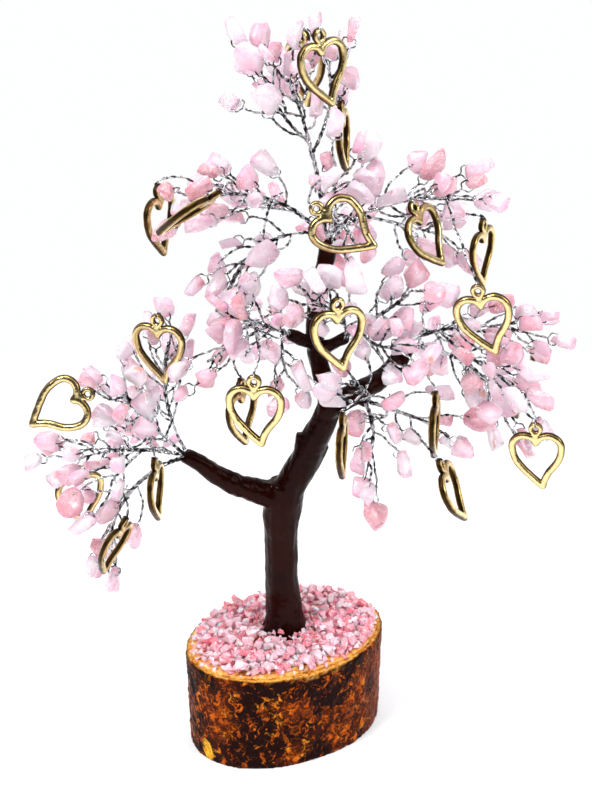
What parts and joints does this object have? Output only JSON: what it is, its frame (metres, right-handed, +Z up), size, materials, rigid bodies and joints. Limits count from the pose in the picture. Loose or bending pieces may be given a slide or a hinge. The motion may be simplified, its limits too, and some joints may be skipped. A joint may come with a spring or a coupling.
{
  "type": "gemstone tree ornament",
  "caption": "Wire tree on a slice of branch, with a coated forked trunk, drilled rose quartz chips on twisted twigs, hanging open brass hearts and crushed quartz round its foot.",
  "frame": {"origin": "middle of the flat underside of the slice of branch", "axes": "+Z up the tree; the front, as pictured, faces -Y and +X is to its right"},
  "size_m": [0.2089, 0.1315, 0.2879],
  "materials": {
    "bark": "glossy flaked bark, dark brown with orange-brown patches",
    "cut_wood": "varnished cut wood",
    "clear_glue": "clear set glue",
    "crushed_quartz": "crushed pink quartz",
    "rose_quartz": "tumbled, cloudy and translucent",
    "brown_coating": "glossy dark brown lacquer",
    "silver_wire": "bright silver-coloured wire",
    "antique_brass": "antique brass plating, dark in the recesses"
  },
  "bodies": {
    "tree": {"bark_ring": "bark", "glue_bed": "clear_glue", "gravel": "crushed_quartz", "left_branch_wires": "silver_wire", "right_branch_wires": "silver_wire", "spray_centre_front_chips": "rose_quartz", "spray_centre_front_twigs": "silver_wire", "spray_centre_left_chips": "rose_quartz", "spray_centre_left_twigs": "silver_wire", "spray_crown_chips": "rose_quartz", "spray_crown_twigs": "silver_wire", "spray_far_right_chips": "rose_quartz", "spray_far_right_twigs": "silver_wire", "spray_left_low_chips": "rose_quartz", "spray_left_low_twigs": "silver_wire", "spray_left_shoulder_chips": "rose_quartz", "spray_left_shoulder_twigs": "silver_wire", "spray_left_up_chips": "rose_quartz", "spray_left_up_twigs": "silver_wire", "spray_neck_chips": "rose_quartz", "spray_neck_twigs": "silver_wire", "spray_right_hang_chips": "rose_quartz", "spray_right_hang_twigs": "silver_wire", "spray_right_low_chips": "rose_quartz", "spray_right_low_twigs": "silver_wire", "spray_right_shoulder_chips": "rose_quartz", "spray_right_shoulder_twigs": "silver_wire", "spray_top_back_chips": "rose_quartz", "spray_top_back_twigs": "silver_wire", "spray_upper_left_chips": "rose_quartz", "spray_upper_left_twigs": "silver_wire", "spray_upper_right_chips": "rose_quartz", "spray_upper_right_twigs": "silver_wire", "top_branch_wires": "silver_wire", "trunk_coat": "brown_coating", "trunk_core": "silver_wire", "wood_core": "cut_wood"},
    "heart_01": {"heart_01": "antique_brass"},
    "heart_02": {"heart_02": "antique_brass"},
    "heart_03": {"heart_03": "antique_brass"},
    "heart_04": {"heart_04": "antique_brass"},
    "heart_05": {"heart_05": "antique_brass"},
    "heart_06": {"heart_06": "antique_brass"},
    "heart_07": {"heart_07": "antique_brass"},
    "heart_08": {"heart_08": "antique_brass"},
    "heart_09": {"heart_09": "antique_brass"},
    "heart_10": {"heart_10": "antique_brass"},
    "heart_11": {"heart_11": "antique_brass"},
    "heart_12": {"heart_12": "antique_brass"},
    "heart_13": {"heart_13": "antique_brass"},
    "heart_14": {"heart_14": "antique_brass"},
    "heart_15": {"heart_15": "antique_brass"},
    "heart_16": {"heart_16": "antique_brass"},
    "heart_17": {"heart_17": "antique_brass"},
    "heart_18": {"heart_18": "antique_brass"},
    "heart_19": {"heart_19": "antique_brass"},
    "heart_20": {"heart_20": "antique_brass"},
    "heart_21": {"heart_21": "antique_brass"},
    "heart_22": {"heart_22": "antique_brass"}
  },
  "joints": [
    {"name": "heart_01_swing", "type": "hinge", "parent": "tree", "child": "heart_01", "pos_m": [-0.0098, -0.049, 0.17477], "axis": [-0.1392, -0.9903, 0], "range_deg": [-20, 20]},
    {"name": "heart_02_swing", "type": "hinge", "parent": "tree", "child": "heart_02", "pos_m": [-0.01494, -0.02891, 0.16423], "axis": [0.8829, -0.4695, 0], "range_deg": [-15, 15]},
    {"name": "heart_03_swing", "type": "hinge", "parent": "tree", "child": "heart_03", "pos_m": [0.01813, -0.05414, 0.20515], "axis": [0.4384, -0.8988, 0], "range_deg": [-20, 20]},
    {"name": "heart_04_swing", "type": "hinge", "parent": "tree", "child": "heart_04", "pos_m": [0.06664, -0.03259, 0.20147], "axis": [-0.2034, -0.9781, -0.0432], "range_deg": [0, 20]},
    {"name": "heart_05_swing", "type": "hinge", "parent": "tree", "child": "heart_05", "pos_m": [0.09163, -0.01985, 0.14267], "axis": [-0.2413, -0.9703, -0.0169], "range_deg": [-15, 15]},
    {"name": "heart_06_swing", "type": "hinge", "parent": "tree", "child": "heart_06", "pos_m": [0.09334, 0.00809, 0.15664], "axis": [0.9403, -0.2756, -0.1999], "range_deg": [-15, 15]},
    {"name": "heart_07_swing", "type": "hinge", "parent": "tree", "child": "heart_07", "pos_m": [0.01053, -0.03601, 0.23186], "axis": [0.1336, -0.9781, 0.1593], "range_deg": [0, 20]},
    {"name": "heart_08_swing", "type": "hinge", "parent": "tree", "child": "heart_08", "pos_m": [0.01201, -0.01837, 0.286], "axis": [0.6123, -0.788, 0.0644], "range_deg": [-15, 15]},
    {"name": "heart_09_swing", "type": "hinge", "parent": "tree", "child": "heart_09", "pos_m": [0.00735, 0.02058, 0.27644], "axis": [-0.7431, -0.6691, 0], "range_deg": [-15, 15]},
    {"name": "heart_10_swing", "type": "hinge", "parent": "tree", "child": "heart_10", "pos_m": [0.01985, -0.00613, 0.25832], "axis": [0.9824, -0.1736, 0.0687], "range_deg": [-15, 15]},
    {"name": "heart_11_swing", "type": "hinge", "parent": "tree", "child": "heart_11", "pos_m": [-0.04288, -0.01593, 0.23186], "axis": [0.9135, -0.4067, 0], "range_deg": [-15, 15]},
    {"name": "heart_12_swing", "type": "hinge", "parent": "tree", "child": "heart_12", "pos_m": [-0.02156, -0.03773, 0.237], "axis": [0.5255, -0.342, -0.779], "range_deg": [-12, 12]},
    {"name": "heart_13_swing", "type": "hinge", "parent": "tree", "child": "heart_13", "pos_m": [-0.04508, -0.01372, 0.18285], "axis": [-0.342, -0.9397, 0], "range_deg": [-15, 15]},
    {"name": "heart_14_swing", "type": "hinge", "parent": "tree", "child": "heart_14", "pos_m": [-0.0686, -0.02744, 0.15958], "axis": [-0.0984, -0.9703, 0.221], "range_deg": [-20, 0]},
    {"name": "heart_15_swing", "type": "hinge", "parent": "tree", "child": "heart_15", "pos_m": [-0.08036, 0.01201, 0.10887], "axis": [0.5, -0.866, 0], "range_deg": [-15, 15]},
    {"name": "heart_16_swing", "type": "hinge", "parent": "tree", "child": "heart_16", "pos_m": [-0.0468, -0.02695, 0.1319], "axis": [0.9903, -0.1392, 0], "range_deg": [-15, 15]},
    {"name": "heart_17_swing", "type": "hinge", "parent": "tree", "child": "heart_17", "pos_m": [-0.05831, -0.02965, 0.10887], "axis": [0.8346, -0.4067, -0.3716], "range_deg": [-15, 15]},
    {"name": "heart_18_swing", "type": "hinge", "parent": "tree", "child": "heart_18", "pos_m": [0.02033, -0.05022, 0.16129], "axis": [0.9903, -0.1392, 0], "range_deg": [-15, 15]},
    {"name": "heart_19_swing", "type": "hinge", "parent": "tree", "child": "heart_19", "pos_m": [0.05292, -0.04067, 0.16473], "axis": [0.9848, -0.1736, 0], "range_deg": [-12, 12]},
    {"name": "heart_20_swing", "type": "hinge", "parent": "tree", "child": "heart_20", "pos_m": [0.05366, -0.0588, 0.14758], "axis": [0.9069, -0.2079, 0.3664], "range_deg": [-12, 12]},
    {"name": "heart_21_swing", "type": "hinge", "parent": "tree", "child": "heart_21", "pos_m": [0.04435, -0.02058, 0.2272], "axis": [0.7574, -0.5592, 0.3372], "range_deg": [-10, 14]},
    {"name": "heart_22_swing", "type": "hinge", "parent": "tree", "child": "heart_22", "pos_m": [0.07228, 0.00907, 0.21079], "axis": [0.8829, -0.4695, 0], "range_deg": [-15, 15]}
  ]
}
